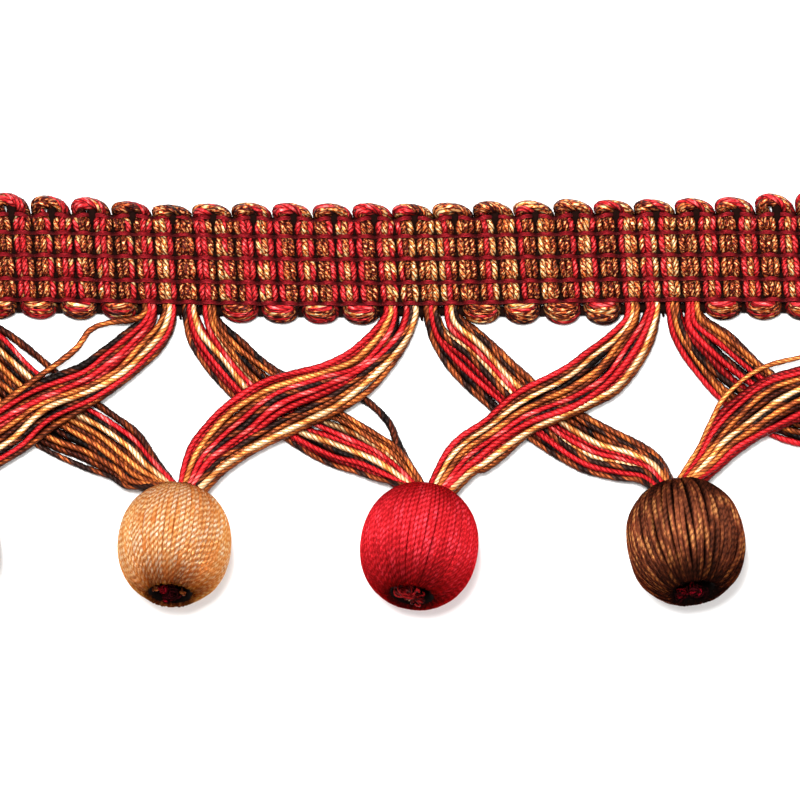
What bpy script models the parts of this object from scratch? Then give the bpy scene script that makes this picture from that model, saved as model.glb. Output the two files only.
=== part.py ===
"""Cut length of ball fringe, lying on its back with its face up.

A woven gimp heading runs along X. Five warp cords lie in grooves across its weft columns. At each
root two skeins of long yarns leave the heading, one to each side, cross the neighbouring skein and
end in the upper hole of a yarn-wrapped ball. A cut tie shows as a tuft in each ball's lower hole.
The origin is on the flat back of the heading, below the middle root. +Y points from the balls to
the looped top edge, and +Z is the face.
"""
import math

import bmesh
import bpy
from mathutils import Matrix, Vector

MM = 0.001
TOLERANCE = 0.01 * MM

# Heading: 12 weft columns to a repeat, with a root in the middle of each repeat, where the weft of
# 4 columns runs on into the skeins.
COLUMN_PITCH = 3.125 * MM
COLUMNS_PER_REPEAT = 12
ROOT_COLUMNS = 4
REPEATS = 5
REPEAT = COLUMN_PITCH * COLUMNS_PER_REPEAT
HEADING_LENGTH = REPEAT * REPEATS
ROOT_EDGE_Y = -7.4 * MM
COLUMN_LEAN = 0.08
WARP_ROWS = [6.4 * MM, 3.7 * MM, 0.2 * MM, -3.5 * MM, -6.7 * MM]
GROOVE_Z = 1.2 * MM
VALLEY_Z = 2.1 * MM
BUMP_Z = 3.0 * MM
EDGE_Z = 1.3 * MM
LOOP_Z = 2.7 * MM
SHOULDER = 0.34
LOOP_VALLEY_Y = 7.0 * MM
TOP_LOOP_RISE = 1.8 * MM
BOTTOM_LOOP_DROP = 2.2 * MM
BOW_DEPTH = 0.35 * MM
BOW_LENGTH = 115 * MM
BOW_CENTRE = -12 * MM
BOW_FADE = (-20 * MM, -9 * MM)

# Warp cords: a diamond section, 0.3 mm clear of the groove's sides.
WARP_HALF_WIDTH = 0.4 * MM
WARP_HALF_HEIGHT = 0.5 * MM
WARP_Z = 2.68 * MM
WARP_TAIL = 1.2 * MM
WARP_STEPS = 24

# Skeins: layers of three-sided strands, lowest first, between a root bar and a gathered end.
STRAND_LAYERS = (5, 4)
STRAND_RADIUS = 0.55 * MM
STRAND_SIDES = 3
LAYER_RISE = 1.08 * MM
BAR_WIDTH = 5.5 * MM
BAR_LENGTH = 1.0 * MM
BAR_HEIGHT = 2.25 * MM
BAR_GAP = 0.3 * MM
BAR_BASE_Z = 0.25 * MM
STRAND_BITE = 0.5 * MM

# Balls: turned about a tilted axis, with a recess at each pole.
BALL_RADIUS = 8.84 * MM
BALL_HALF_LENGTH = 9.7 * MM
BALL_POWER = 2.1
BALL_SIDES = 14
BALL_OUTER_RINGS = 7
BALL_TILT = math.radians(29)
FLAT_DEPTH = 0.12 * MM
RIM_RADIUS = 4.4 * MM
MOUTH_RADIUS = 3.6 * MM
MOUTH_AXIAL = 7.9 * MM
FLOOR_RADIUS = 3.45 * MM
FLOOR_AXIAL = 4.4 * MM

# Routes of the skeins, from the root to the last place where the yarns are apart. out is measured
# from the root's middle towards the ball, y along the drop, spread is the width between the outer
# yarns' middles, and base is the height of the underside. All in millimetres.
ROUTE_COLUMNS = ("out", "y", "spread", "base")
FRONT_ROUTE = (
    (3.1, -8.2, 4.4, 0.4),
    (4.1, -10.6, 4.7, 0.6),
    (5.9, -13.8, 5.6, 1.1),
    (9.4, -17.6, 6.4, 1.7),
    (14.4, -20.4, 7.2, 2.25),
    (21.6, -22.3, 8.2, 2.25),
    (27.6, -25.7, 7.8, 2.25),
    (31.2, -29.2, 6.3, 2.3),
    (33.2, -32.0, 5.2, 2.45),
)
BACK_ROUTE = (
    (3.1, -8.2, 4.4, 0.4),
    (4.4, -11.2, 5.2, 0.1),
    (7.3, -15.2, 6.6, 0.0),
    (12.0, -20.1, 7.0, 0.0),
    (18.4, -24.6, 7.4, 0.0),
    (24.8, -27.8, 7.2, 0.0),
    (29.4, -30.2, 6.3, 1.0),
    (32.4, -32.3, 5.2, 1.9),
)
END_ROUTE = (
    (3.1, -8.2, 4.4, 0.4),
    (3.7, -13.0, 5.4, 0.1),
    (4.3, -19.0, 5.8, 0.0),
    (4.7, -25.0, 5.8, 0.3),
    (4.6, -29.5, 5.4, 1.3),
    (4.2, -32.6, 4.9, 2.1),
)

# Gathered end, in the ball's own frame: how far out along the ball's axis, how far to the side, and
# half the width and height there, in millimetres. swing is the share of the turn with which the
# skein comes in.
GATHER_COLUMNS = ("axial", "side", "half_width", "half_height", "swing")
GATHER_SECTIONS = (
    (11.9, 3.9, 2.85, 1.25, 1.0),
    (10.0, 2.5, 2.1, 1.6, 0.5),
    (8.2, 1.62, 1.4, 1.9, 0.0),
    (4.75, 1.62, 1.4, 1.9, 0.0),
)
GATHER_SIDES = 8
FRONT_SWING = 28
BACK_SWING = 42
END_SWING = 0

# One row for each ball: its yarn, its place against the root above, and the turn of its axis.
BALL_COLUMNS = ("yarn", "shift_x", "y", "turn")
BALL_TABLE = (
    ("brown", 0.8, -44.0, 5),
    ("gold", -0.6, -44.2, -4),
    ("red", -0.2, -44.5, -9),
    ("brown", 3.4, -43.9, 9),
    ("gold", 1.0, -44.1, -3),
)

# Tufts: radius at each step along the ball's axis, in millimetres.
TUFT_PROFILE = ((4.75, 0.9), (5.6, 1.3), (7.2, 1.15), (8.6, 1.35), (9.6, 0.8))
TUFT_SIDES = 7
TUFT_SHIFT = -0.7 * MM

YARN_COLOURS = {
    "gimp": (0.21, 0.06, 0.03),
    "warp": (0.13, 0.008, 0.016),
    "skein": (0.36, 0.035, 0.03),
    "gold": (0.62, 0.36, 0.13),
    "red": (0.50, 0.008, 0.018),
    "brown": (0.10, 0.040, 0.012),
}
YARN_ROUGHNESS = 0.45
SMOOTH_ANGLE = math.radians(50)


def clear_scene():
    """Remove every object, so that only the fringe is left."""
    for old in list(bpy.data.objects):
        bpy.data.objects.remove(old, do_unlink=True)


def yarn_material(name):
    """A plain dyed yarn of the named colour."""
    material = bpy.data.materials.new(name + "_yarn")
    material.use_nodes = True
    shader = material.node_tree.nodes["Principled BSDF"]
    shader.inputs["Base Color"].default_value = (*YARN_COLOURS[name], 1.0)
    shader.inputs["Roughness"].default_value = YARN_ROUGHNESS
    shader.inputs["Metallic"].default_value = 0.0
    return material


def add_piece(name, shape, material, smooth=True):
    """Turn a bmesh into a named object with its own material."""
    bmesh.ops.recalc_face_normals(shape, faces=shape.faces)
    mesh = bpy.data.meshes.new(name)
    shape.to_mesh(mesh)
    shape.free()
    mesh.materials.append(material)
    if smooth:
        mesh.shade_smooth()
        mesh.set_sharp_from_angle(angle=SMOOTH_ANGLE)
    piece = bpy.data.objects.new(name, mesh)
    bpy.context.collection.objects.link(piece)
    return piece


def rows_of(table, columns):
    """Read a table's rows as dictionaries keyed by the column names."""
    return [dict(zip(columns, row)) for row in table]


def root_x(index):
    """X of a root, counted from the left end."""
    return (index - (REPEATS - 1) / 2) * REPEAT


def bow(x, y):
    """How far the slightly wavy heading moves a point in Y. It fades out down the skeins."""
    low, high = BOW_FADE
    share = min(max((y - low) / (high - low), 0.0), 1.0)
    return -BOW_DEPTH * math.cos(2 * math.pi * (x - BOW_CENTRE) / BOW_LENGTH) * share


def heading_point(x, y, z):
    """A point of the heading with the columns' lean and the bow added."""
    leaned = x - COLUMN_LEAN * (y - ROOT_EDGE_Y)
    return Vector((leaned, y + bow(leaned, y), z))


def loop_arch(x, offset):
    """0 to 1 height of an edge loop, two columns wide, at x. offset is 0 at the top edge, 1 below."""
    pair = 2 * COLUMN_PITCH
    place = (x / pair - offset / 2) % 1.0
    across = 2 * min(place, 1.0 - place)
    return math.sqrt(max(1.0 - across * across, 0.0))


def at_root(x):
    """True where the weft runs on into the skeins instead of turning back in a loop."""
    place = (x + HEADING_LENGTH / 2) % REPEAT
    return abs(place - REPEAT / 2) <= ROOT_COLUMNS / 2 * COLUMN_PITCH + TOLERANCE


def heading_rows(x, across):
    """(y, z) of every row of the heading at x, from the top edge to the bottom edge."""
    bump_z = VALLEY_Z + (BUMP_Z - VALLEY_Z) * across
    top = LOOP_VALLEY_Y + TOP_LOOP_RISE * loop_arch(x, 0)
    loop_z = EDGE_Z + (LOOP_Z - EDGE_Z) * max(across, loop_arch(x, 0))
    rows = [(top, EDGE_Z), (top - SHOULDER * (top - WARP_ROWS[0]), loop_z)]
    for upper, lower in zip(WARP_ROWS, WARP_ROWS[1:]):
        rows.append((upper, GROOVE_Z))
        for share in (SHOULDER, 1 - SHOULDER):
            rows.append((upper + (lower - upper) * share, bump_z))
    rows.append((WARP_ROWS[-1], GROOVE_Z))
    arch = 0.0 if at_root(x) else loop_arch(x, 1)
    bottom = ROOT_EDGE_Y - BOTTOM_LOOP_DROP * arch
    bottom_z = EDGE_Z + (LOOP_Z - EDGE_Z) * arch
    rows.append((WARP_ROWS[-1] + (bottom - WARP_ROWS[-1]) * (1 - SHOULDER), bottom_z))
    rows.append((bottom, EDGE_Z))
    return rows


def heading_stations():
    """(x, across) along the heading: each column has a valley and the two edges of its crown."""
    stations = []
    for column in range(COLUMNS_PER_REPEAT * REPEATS):
        left = column * COLUMN_PITCH - HEADING_LENGTH / 2
        for share, across in ((0.0, 0.0), (SHOULDER, 1.0), (1 - SHOULDER, 1.0)):
            stations.append((left + share * COLUMN_PITCH, across))
    stations.append((HEADING_LENGTH / 2, 0.0))
    return stations


def build_heading():
    """The braid: a raised field of columns and bumps over one flat back."""
    shape = bmesh.new()
    grid = []
    for x, across in heading_stations():
        column = [shape.verts.new(heading_point(x, y, z)) for y, z in heading_rows(x, across)]
        grid.append(column)
    for left, right in zip(grid, grid[1:]):
        for row in range(len(left) - 1):
            shape.faces.new((left[row], left[row + 1], right[row + 1], right[row]))
    top = [column[0] for column in grid]
    bottom = [column[-1] for column in grid]
    rim = top + grid[-1][1:-1] + bottom[::-1] + grid[0][1:-1][::-1]
    feet = [shape.verts.new((vert.co.x, vert.co.y, 0.0)) for vert in rim]
    for index, vert in enumerate(rim):
        after = (index + 1) % len(rim)
        shape.faces.new((vert, rim[after], feet[after], feet[index]))
    shape.faces.new(feet)
    return add_piece("heading", shape, yarn_material("gimp"))


def loft(shape, rings):
    """Bridge a list of equal rings of points into a closed tube with flat ends."""
    loops = [[shape.verts.new(point) for point in ring] for ring in rings]
    for near, far in zip(loops, loops[1:]):
        for index in range(len(near)):
            after = (index + 1) % len(near)
            shape.faces.new((near[index], near[after], far[after], far[index]))
    shape.faces.new(loops[0][::-1])
    shape.faces.new(loops[-1])


def build_warp(index, row_y):
    """One warp cord, laid along its groove past both ends of the heading."""
    shape = bmesh.new()
    half = HEADING_LENGTH / 2 + WARP_TAIL
    corners = (
        (WARP_HALF_WIDTH, 0.0),
        (0.0, WARP_HALF_HEIGHT),
        (-WARP_HALF_WIDTH, 0.0),
        (0.0, -WARP_HALF_HEIGHT),
    )
    rings = []
    for step in range(WARP_STEPS + 1):
        x = -half + 2 * half * step / WARP_STEPS
        middle = heading_point(x, row_y, WARP_Z)
        rings.append([middle + Vector((0.0, side, rise)) for side, rise in corners])
    loft(shape, rings)
    return add_piece("warp_%d" % (index + 1), shape, yarn_material("warp"), smooth=False)


def ball_frame(ball):
    """Matrix from a ball's own frame to the fringe. Its local +X is across, and its local +Y points
    out of the upper hole, which leans down to the surface."""
    turn = Matrix.Rotation(math.radians(ball["turn"]), 4, "Z")
    tilt = Matrix.Rotation(-BALL_TILT, 4, "X")
    place = Matrix.Translation(ball["centre"])
    return place @ turn @ tilt


def ball_outline():
    """(axial, radius) around the ball's section, from the floor of one recess to the other."""
    start = math.asin((RIM_RADIUS / BALL_RADIUS) ** (BALL_POWER / 2))
    outer = []
    for step in range(BALL_OUTER_RINGS):
        angle = start + (math.pi - 2 * start) * step / (BALL_OUTER_RINGS - 1)
        bulge = math.sin(angle) ** (2 / BALL_POWER)
        along = math.copysign(abs(math.cos(angle)) ** (2 / BALL_POWER), math.cos(angle))
        outer.append((BALL_HALF_LENGTH * along, BALL_RADIUS * bulge))
    mouth = [(FLOOR_AXIAL, FLOOR_RADIUS), (MOUTH_AXIAL, MOUTH_RADIUS)]
    far_mouth = [(-axial, radius) for axial, radius in mouth[::-1]]
    return mouth + outer + far_mouth


def ring_points(frame, radius_x, radius_z, sides):
    """A ring in the XZ plane of a frame."""
    points = []
    for index in range(sides):
        angle = 2 * math.pi * (index + 0.5) / sides
        points.append(frame @ Vector((radius_x * math.cos(angle), 0.0, radius_z * math.sin(angle))))
    return points


def axis_place(ball, axial, side=0.0, swing=0.0):
    """Frame of a section at a distance along the ball's axis and to its side, turned by swing."""
    place = Matrix.Translation((side, axial, 0.0))
    return ball["frame"] @ place @ Matrix.Rotation(swing, 4, "Z")


def ball_rest_height():
    """Height of a ball's middle with its lowest point just under the surface."""
    reach = 0.0
    for axial, radius in ball_outline():
        reach = max(reach, abs(axial) * math.sin(BALL_TILT) + radius * math.cos(BALL_TILT))
    return reach - FLAT_DEPTH


def read_balls():
    """The ball table with each ball's middle worked out."""
    balls = rows_of(BALL_TABLE, BALL_COLUMNS)
    for index, ball in enumerate(balls):
        x = root_x(index) + ball["shift_x"] * MM
        ball["centre"] = Vector((x, ball["y"] * MM, ball_rest_height()))
        ball["frame"] = ball_frame(ball)
    return balls


def build_ball(index, ball):
    """A wrapped bead, cut flat where it rests."""
    shape = bmesh.new()
    rings = [
        ring_points(axis_place(ball, axial), radius, radius, BALL_SIDES)
        for axial, radius in ball_outline()
    ]
    loft(shape, rings)
    bmesh.ops.bisect_plane(
        shape,
        geom=shape.verts[:] + shape.edges[:] + shape.faces[:],
        plane_co=(0.0, 0.0, 0.0),
        plane_no=(0.0, 0.0, -1.0),
        clear_outer=True,
        dist=TOLERANCE,
    )
    open_edges = [edge for edge in shape.edges if edge.is_boundary]
    bmesh.ops.holes_fill(shape, edges=open_edges)
    return add_piece("ball_%d" % (index + 1), shape, yarn_material(ball["yarn"]))


def build_tuft(index, ball):
    """The cut tie in the lower hole, seated on the floor of the recess."""
    shape = bmesh.new()
    rings = [
        ring_points(axis_place(ball, -axial * MM, TUFT_SHIFT), radius * MM, radius * MM, TUFT_SIDES)
        for axial, radius in TUFT_PROFILE
    ]
    loft(shape, rings)
    return add_piece("tuft_%d" % (index + 1), shape, yarn_material("warp"))


def skein_stations(root, ball, side, table):
    """Middle, spread and base height at every station of a skein, ending inside its gathered end."""
    stations = []
    route = rows_of(table, ROUTE_COLUMNS)
    reach = route[-1]["out"]
    for row in route:
        x = root_x(root) + side * row["out"] * MM
        x += ball["shift_x"] * MM * (row["out"] - route[0]["out"]) / (reach - route[0]["out"])
        y = row["y"] * MM
        stations.append(
            {"middle": Vector((x, y + bow(x, y), row["base"] * MM)), "spread": row["spread"] * MM}
        )
    return stations


def gathered_frames(ball, hand, swing):
    """Frames of the gathered end's sections. hand is -1 where it lies left of the ball's middle."""
    frames = []
    for row in rows_of(GATHER_SECTIONS, GATHER_COLUMNS):
        turn = -hand * math.radians(swing) * row["swing"]
        frames.append(axis_place(ball, row["axial"] * MM, hand * row["side"] * MM, turn))
    return frames


def gathered_rings(frames):
    """Rings of the gathered end around its frames."""
    rings = []
    for frame, row in zip(frames, rows_of(GATHER_SECTIONS, GATHER_COLUMNS)):
        half_width, half_height = row["half_width"] * MM, row["half_height"] * MM
        rings.append(ring_points(frame, half_width, half_height, GATHER_SIDES))
    return rings


def strand_rings(stations, end_middle, end_across, lane, layer):
    """Triangular rings of one yarn. lane runs from -1 to 1 across the skein."""
    middles = [station["middle"] for station in stations] + [end_middle]
    rings = []
    for index, station in enumerate(stations):
        travel = Vector((0.0, -1.0, 0.0))
        if index > 0:
            travel = middles[index + 1] - middles[index - 1]
            travel.z = 0.0
            travel.normalize()
        across = Vector((-travel.y, travel.x, 0.0))
        rise = STRAND_RADIUS / 2 + layer * LAYER_RISE
        middle = station["middle"] + across * (lane * station["spread"] / 2)
        rings.append(strand_ring(middle + Vector((0.0, 0.0, rise)), across))
    last = end_middle + end_across * lane
    last.z += (layer - 0.5) * LAYER_RISE
    rings.append(strand_ring(last, end_across.normalized()))
    return rings


def strand_ring(middle, across):
    """The three corners of a yarn's section, flat side down."""
    points = []
    for corner in range(STRAND_SIDES):
        angle = math.pi / 2 + 2 * math.pi * corner / STRAND_SIDES
        step = across * math.cos(angle) + Vector((0.0, 0.0, math.sin(angle)))
        points.append(middle + step * STRAND_RADIUS)
    return points


def build_skein(name, root, ball, side, hand, route):
    """The yarns of one skein, fused to a bar at the root and to the gathered end in the ball."""
    table, swing = route
    stations = skein_stations(root, ball, side, table)
    frames = gathered_frames(ball, hand, swing)
    first_end, second_end = frames[0].translation, frames[1].translation
    end_middle = first_end + (second_end - first_end).normalized() * STRAND_BITE
    end_half_spread = GATHER_SECTIONS[0][2] * MM - STRAND_RADIUS
    end_across = frames[0].to_3x3() @ Vector((end_half_spread, 0.0, 0.0))

    strands = bmesh.new()
    widest = max(STRAND_LAYERS) - 1
    for layer, count in enumerate(STRAND_LAYERS):
        for strand in range(count):
            lane = (2 * strand - (count - 1)) / widest
            loft(strands, strand_rings(stations, end_middle, end_across, lane, layer))
    skein = add_piece(name, strands, yarn_material("skein"), smooth=False)

    backing = bmesh.new()
    loft(backing, gathered_rings(frames))
    bar_x = root_x(root) + side * table[0][0] * MM
    bar_y = ROOT_EDGE_Y + bow(bar_x, ROOT_EDGE_Y) - BAR_GAP - BAR_LENGTH / 2
    bar_z = BAR_BASE_Z + BAR_HEIGHT / 2
    bar_size = Matrix.Diagonal((BAR_WIDTH, BAR_LENGTH, BAR_HEIGHT, 1.0))
    bar_place = Matrix.Translation((bar_x, bar_y, bar_z))
    bmesh.ops.create_cube(backing, size=1.0, matrix=bar_place @ bar_size)
    cutter = add_piece(name + "_backing", backing, skein.data.materials[0], smooth=False)
    cutter.hide_render = True
    cutter.display_type = "WIRE"

    union = skein.modifiers.new("fuse", "BOOLEAN")
    union.operation = "UNION"
    union.solver = "EXACT"
    union.object = cutter
    return skein


def main():
    """Build every piece of the fringe."""
    clear_scene()
    build_heading()
    for index, row_y in enumerate(WARP_ROWS):
        build_warp(index, row_y)
    balls = read_balls()
    for index, ball in enumerate(balls):
        build_ball(index, ball)
        build_tuft(index, ball)
    front, back, end = (FRONT_ROUTE, FRONT_SWING), (BACK_ROUTE, BACK_SWING), (END_ROUTE, END_SWING)
    last = REPEATS - 1
    for root in range(REPEATS):
        if root > 0:
            build_skein("skein_left_%d" % (root + 1), root, balls[root - 1], -1, 1, front)
        else:
            build_skein("skein_end_left", root, balls[root], -1, -1, end)
        if root < last:
            build_skein("skein_right_%d" % (root + 1), root, balls[root + 1], 1, -1, back)
        else:
            build_skein("skein_end_right", root, balls[root], 1, 1, end)


main()
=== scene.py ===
import math
import random

import bpy
import numpy as np
from mathutils import Matrix, Vector


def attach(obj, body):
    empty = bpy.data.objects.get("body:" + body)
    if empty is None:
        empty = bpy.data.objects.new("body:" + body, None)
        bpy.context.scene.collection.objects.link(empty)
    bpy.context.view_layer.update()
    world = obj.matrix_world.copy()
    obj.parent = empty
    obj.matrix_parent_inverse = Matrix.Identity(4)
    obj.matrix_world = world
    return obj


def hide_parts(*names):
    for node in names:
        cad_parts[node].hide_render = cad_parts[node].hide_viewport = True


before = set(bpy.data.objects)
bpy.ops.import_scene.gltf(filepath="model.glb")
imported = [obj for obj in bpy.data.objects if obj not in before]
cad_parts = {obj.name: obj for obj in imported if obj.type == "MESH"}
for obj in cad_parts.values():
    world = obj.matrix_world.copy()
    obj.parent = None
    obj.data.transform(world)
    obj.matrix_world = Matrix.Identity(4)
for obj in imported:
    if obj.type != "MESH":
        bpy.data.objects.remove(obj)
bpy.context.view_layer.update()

mm = 0.001
scene = bpy.context.scene


# sRGB hex to the linear numbers that shaders take
def paint(hexColour):
    parts = [int(hexColour[at:at + 2], 16) / 255 for at in (1, 3, 5)]
    return tuple(c / 12.92 if c <= 0.04045 else ((c + 0.055) / 1.055) ** 2.4 for c in parts) + (1.0,)


# one node with its settings and what is plugged into it; an input goes by name or number, and a node
# that is plugged in gives its first output
def addNode(tree, kind, settings=None, links=None):
    node = tree.nodes.new("ShaderNode" + kind)
    for key, value in (settings or {}).items():
        if isinstance(key, int) or key in node.inputs:
            node.inputs[key].default_value = value
        else:
            setattr(node, key, value)
    for key, source in (links or {}).items():
        tree.links.new(getattr(source, "outputs", [source])[0], node.inputs[key])
    return node


def newMaterial(name):
    material = bpy.data.materials.new(name)
    material.use_nodes = True
    return material


# sets sockets of a material's own shader
def setShader(material, values):
    shader = material.node_tree.nodes["Principled BSDF"]
    for name, value in values.items():
        shader.inputs[name].default_value = value
    return shader


def selectOnly(piece):
    bpy.ops.object.select_all(action="DESELECT")
    piece.select_set(True)
    bpy.context.view_layer.objects.active = piece


# camera straight above the middle of the drop
camera = {"lens": 300, "sensor": 36, "across": 124.0, "middle": (-3.255, -22.0), "level": 3.0}
cameraData = bpy.data.cameras.new("camera")
cameraData.lens = camera["lens"]
cameraData.sensor_width = camera["sensor"]
cameraData.clip_end = 20.0
cameraObject = bpy.data.objects.new("camera", cameraData)
cameraHeight = camera["across"] * camera["lens"] / camera["sensor"] + camera["level"]
cameraObject.location = (camera["middle"][0] * mm, camera["middle"][1] * mm, cameraHeight * mm)
scene.collection.objects.link(cameraObject)
scene.camera = cameraObject

# a soft lamp high up beside the lens, one beyond the heading, a weak one at the right,
# and a white room that is brighter towards the heading
studio = {
    "key": {"place": (-100, 150, 1080), "size": 190, "watts": 14.5},
    "top": {"place": (-190, 640, 880), "size": 170, "watts": 6.0},
    "side": {"place": (260, -60, 330), "size": 300, "watts": 0.2},
    "room": 0.95,
    "fromTop": 0.60,
}
for lampName in ("key", "top", "side"):
    lamp = studio[lampName]
    lampData = bpy.data.lights.new(lampName, "AREA")
    lampData.size = lamp["size"] * mm
    lampData.energy = lamp["watts"]
    lampObject = bpy.data.objects.new(lampName, lampData)
    lampObject.location = [c * mm for c in lamp["place"]]
    aim = Vector((camera["middle"][0] * mm, camera["middle"][1] * mm, 0)) - lampObject.location
    lampObject.rotation_euler = aim.to_track_quat("-Z", "Y").to_euler()
    lampObject.visible_camera = False
    scene.collection.objects.link(lampObject)
room = bpy.data.worlds.new("room")
room.use_nodes = True
tree = room.node_tree
tree.nodes["Background"].inputs["Color"].default_value = (1.0, 1.0, 1.0, 1.0)
sky = addNode(tree, "TexCoord")
skyParts = addNode(tree, "SeparateXYZ", None, {0: sky.outputs["Generated"]})
glow = addNode(
    tree, "Math", {"operation": "MULTIPLY_ADD", 1: studio["fromTop"], 2: studio["room"]},
    {0: skyParts.outputs["Y"]},
)
tree.links.new(glow.outputs[0], tree.nodes["Background"].inputs["Strength"])
scene.world = room
scene.view_settings.view_transform = "Standard"

# matt white backing paper, calendered: no gloss, only a faint tooth
paper = newMaterial("mattWhitePaper")
tree = paper.node_tree
shader = setShader(paper, {"Base Color": paint("#fcfcfb"), "Roughness": 0.9, "Specular IOR Level": 0.1})
place = addNode(tree, "TexCoord")
grain = {"Scale": 900.0, "Detail": 3.0}
tooth = addNode(tree, "TexNoise", grain, {"Vector": place.outputs["Object"]})
lift = addNode(tree, "Bump", {"Strength": 0.2, "Distance": 0.03 * mm}, {"Height": tooth.outputs["Fac"]})
tree.links.new(lift.outputs["Normal"], shader.inputs["Normal"])
bpy.ops.mesh.primitive_plane_add(size=3.0, location=(0, 0, -0.0001))
floor = bpy.context.object
floor.name = "floor"
floor.data.materials.append(paper)
print("camera, lamps and floor are set")


# finishes
# Filament rayon, dyed, doubled and cabled: smooth endless filaments give the yarn a silky gloss in
# its own colour on the crown of each strand. Shade is painted into the colour between the strands
# and where yarns are pressed together, as each yarn's painted light says.
rayon = {
    "roughness": 0.33,
    "metallic": 0.38,         # the gloss takes the dye's colour, as light passes in and out of the filaments
    "specular": 0.07,
    "filaments": (0.9, 26.0),  # noise cells to a millimetre of length and to one turn round the yarn
    "flecks": (3.0, 8.0),
    "strandLift": 0.055,      # mm
    "filamentLift": 0.04,
    # painted shade: the colour where the painted light is lowest, between yarns
    "gapShade": "#0c0706",     # where no light gets in between yarns
}


# crown is the dye on a strand and deep the colour painted as shade between strands; beads are strands
# that slant across the thread, moulinee the dyes of its flecks, and shaded the tint of the painted shade
def rayonYarn(
    name, crown, deep, strands=6, crevice=0.30, roughness=rayon["roughness"], beads=None, moulinee=None,
    flecks=rayon["flecks"], tint="#ffffff", shaded=None,
):
    material = newMaterial(name)
    tree = material.node_tree
    yarnMap = addNode(tree, "UVMap", {"uv_map": "yarn"})
    uv = yarnMap.outputs["UV"]
    parts = addNode(tree, "SeparateXYZ", None, {0: uv})
    combed = addNode(tree, "Mapping", {"Scale": rayon["filaments"] + (1.0,)}, {"Vector": uv})
    filaments = addNode(
        tree, "TexNoise", {"Scale": 1.0, "Detail": 3.0, "Roughness": 0.65},
        {"Vector": combed},
    )
    if beads:
        # strands slant across the thread a set distance apart
        slant = addNode(tree, "Math", {"operation": "MULTIPLY", 1: beads["slant"]}, {0: parts.outputs["Y"]})
        turns = addNode(
            tree, "Math", {"operation": "MULTIPLY", 1: 1.0 / beads["pitch"]},
            {0: parts.outputs["X"]},
        )
        even = addNode(tree, "Math", {"operation": "ADD"}, {0: turns, 1: slant})
        around = addNode(
            tree, "Math", {"operation": "MULTIPLY_ADD", 1: beads["stray"]},
            {0: filaments.outputs["Fac"], 2: even},
        )
    else:
        around = addNode(tree, "Math", {"operation": "MULTIPLY", 1: float(strands)}, {0: parts.outputs["Y"]})
    # painted shade: the colour goes from crown on each strand's crest to deep in the crevices between strands
    strand = addNode(tree, "Math", {"operation": "PINGPONG", 1: 0.5}, {0: around})
    rounding = {"interpolation_type": "SMOOTHSTEP", "From Min": 0.0, "From Max": crevice}
    crest = addNode(tree, "MapRange", rounding, {"Value": strand})
    silk = addNode(
        tree, "MapRange", {"From Min": 0.3, "From Max": 0.7, "To Min": 0.6, "To Max": 1.0},
        {"Value": filaments.outputs["Fac"]},
    )
    share = addNode(tree, "Math", {"operation": "MULTIPLY"}, {0: crest, 1: silk})
    dyeAndCreviceShade = addNode(tree, "Mix", {"data_type": "RGBA", 6: paint(deep), 7: paint(crown)}, {0: share})
    if moulinee:
        # singles of several dyes twisted together, so that short flecks of each come up
        spun = addNode(tree, "Mapping", {"Scale": flecks + (1.0,)}, {"Vector": uv})
        speckle = addNode(tree, "TexNoise", {"Scale": 1.0, "Detail": 2.0, "Roughness": 0.6}, {"Vector": spun})
        ramp = addNode(tree, "ValToRGB", None, {"Fac": speckle.outputs["Fac"]})
        for at, (place, hexColour) in enumerate(moulinee):
            stop = ramp.color_ramp.elements[at] if at < 2 else ramp.color_ramp.elements.new(place)
            stop.position, stop.color = place, paint(hexColour)
        dyeAndCreviceShade = addNode(
            tree, "Mix", {"data_type": "RGBA", 6: paint(deep)},
            {0: share, 7: ramp.outputs["Color"]},
        )
    # painted shade: where the painted light is low the colour is deepened, as if light had passed through the
    # dye twice, and then darkened towards black
    paintedLight = addNode(tree, "Attribute", {"attribute_name": "paintedLight"})
    through = {"data_type": "RGBA", "blend_type": "MULTIPLY", 0: 1.0}
    if shaded:
        twice = addNode(tree, "Mix", {**through, 7: paint(shaded)}, {6: dyeAndCreviceShade.outputs[2]})
    else:
        twice = addNode(tree, "Mix", through, {6: dyeAndCreviceShade.outputs[2], 7: dyeAndCreviceShade.outputs[2]})
    deepenedInShade = addNode(
        tree, "Mix", {"data_type": "RGBA"},
        {0: paintedLight.outputs["Fac"], 6: twice.outputs[2], 7: dyeAndCreviceShade.outputs[2]},
    )
    gapShade = addNode(
        tree, "Mix", {"data_type": "RGBA", 6: paint(rayon["gapShade"])},
        {0: paintedLight.outputs["Fac"], 7: deepenedInShade.outputs[2]},
    )
    shader = setShader(material, {
        "Roughness": roughness,
        "Metallic": rayon["metallic"],
        "Specular IOR Level": rayon["specular"],
        "Specular Tint": paint(tint),
    })
    tree.links.new(gapShade.outputs[2], shader.inputs["Base Color"])
    strandLift = beads["lift"] if beads else rayon["strandLift"]
    fine = addNode(
        tree, "Math", {"operation": "MULTIPLY", 1: rayon["filamentLift"] / strandLift},
        {0: filaments.outputs["Fac"]},
    )
    relief = addNode(tree, "Math", {"operation": "ADD"}, {0: crest, 1: fine})
    lift = addNode(tree, "Bump", {"Strength": 1.0, "Distance": strandLift * mm}, {"Height": relief})
    tree.links.new(lift.outputs["Normal"], shader.inputs["Normal"])
    return material


# each dye: its colour on a strand's crown, and the darker colour painted as shade between its strands
dyesAndCreviceShades = {
    "crimson": ("#e0282e", "#961418"),
    "rose": ("#fa6c68", "#b82a2c"),
    "cream": ("#ffe4b8", "#d08440"),
    "gold": ("#f4a458", "#a4501e"),
    "tan": ("#e08440", "#8c4018"),
    "brown": ("#a85228", "#542412"),
    "dark": ("#3c211a", "#160c09"),
    "burgundy": ("#a01822", "#480a10"),
    "tie": ("#cc1c36", "#6c0e1c"),
    "maroon": ("#64141f", "#280a0e"),
}
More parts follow.
